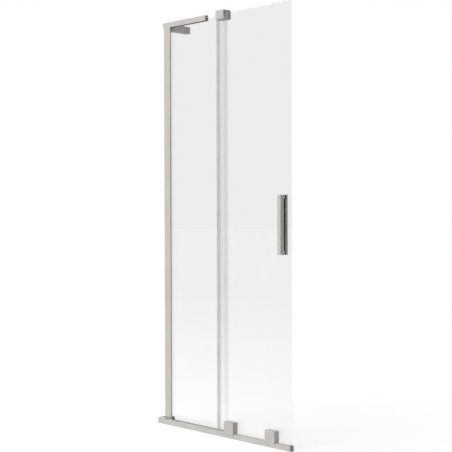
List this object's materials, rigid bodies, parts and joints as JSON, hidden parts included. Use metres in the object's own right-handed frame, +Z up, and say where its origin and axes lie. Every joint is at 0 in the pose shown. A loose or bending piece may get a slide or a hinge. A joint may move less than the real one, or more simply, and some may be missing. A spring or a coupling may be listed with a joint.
{
  "type": "sliding bath screen",
  "caption": "Bath screen with a fixed glass pane in a wall profile and a sliding glass pane on rollers in front of it, with a top bar, a wall arm, a rail and a handle.",
  "frame": {"origin": "on the wall plane and on the bath rim, in the middle plane of the fixed pane", "axes": "+X along the bath away from the wall, +Y towards the shower side behind the fixed pane, +Z up; the sliding pane and its handle are on the -Y side"},
  "size_m": [0.675, 0.1545, 1.502],
  "materials": {
    "profile_metal": "brushed, warm light grey, anodised",
    "fitting_metal": "brushed, warm light grey, plated zinc casting",
    "screw_steel": "bright stainless steel",
    "clear_glass": "clear toughened glass with polished edges",
    "grey_seal": "light grey soft seal, satin",
    "clear_seal": "clear soft seal",
    "dark_rubber": "black rubber, matte",
    "white_nylon": "natural nylon, satin",
    "grey_nylon": "grey moulded nylon, matte",
    "bond_foam": "grey bonding foam, matte"
  },
  "bodies": {
    "fixed_screen": {"wall_channel": "profile_metal", "glass_profile": "profile_metal", "profile_front_gasket": "dark_rubber", "profile_rear_gasket": "dark_rubber", "adjust_screws": "screw_steel", "screw_cover_strip": "profile_metal", "fixed_glass": "clear_glass", "fixed_sill_seal": "clear_seal", "fixed_edge_seal": "clear_seal", "top_bar": "profile_metal", "top_bar_gasket": "dark_rubber", "top_bar_end_cap": "fitting_metal", "wall_arm": "profile_metal", "arm_bracket": "screw_steel", "arm_end_cap": "fitting_metal", "arm_grub_screw": "screw_steel", "bottom_rail": "profile_metal", "rail_bond_strip": "bond_foam", "rail_end_block": "fitting_metal", "rail_end_cap": "fitting_metal", "rail_stops": "grey_nylon", "stop_buffers": "dark_rubber", "guide_body": "fitting_metal", "guide_liner": "white_nylon", "guide_clamp_pad": "dark_rubber", "guide_grub_screw": "screw_steel"},
    "sliding_pane": {"sliding_glass": "clear_glass", "pane_edge_seal": "grey_seal", "pane_drip_seal": "clear_seal", "roller_covers": "fitting_metal", "roller_carriages": "grey_nylon", "roller_gaskets": "dark_rubber", "roller_axles": "screw_steel", "block_bushings": "white_nylon", "block_screws": "screw_steel", "block_screw_caps": "fitting_metal", "handle_screws": "screw_steel", "handle_profile": "profile_metal", "handle_end_blocks": "fitting_metal", "handle_pad": "dark_rubber", "rear_pull": "profile_metal", "rear_pull_pad": "dark_rubber"},
    "wheel_left": {"roller_wheel_left": "white_nylon", "roller_bush_left": "screw_steel"},
    "wheel_right": {"roller_wheel_right": "white_nylon", "roller_bush_right": "screw_steel"}
  },
  "joints": [
    {"name": "pane_slide", "type": "slide", "parent": "fixed_screen", "child": "sliding_pane", "axis": [-1, 0, 0], "range_m": [0, 0.275]},
    {"name": "wheel_left_spin", "type": "hinge", "parent": "sliding_pane", "child": "wheel_left", "pos_m": [0.386, -0.03575, 0.0243], "axis": [0, -1, 0], "continuous": true},
    {"name": "wheel_right_spin", "type": "hinge", "parent": "sliding_pane", "child": "wheel_right", "pos_m": [0.5835, -0.03575, 0.0243], "axis": [0, -1, 0], "continuous": true}
  ],
  "couplings": [
    {"joint": "wheel_left_spin", "follows": "pane_slide", "rad_per_m": 100},
    {"joint": "wheel_right_spin", "follows": "pane_slide", "rad_per_m": 100}
  ]
}
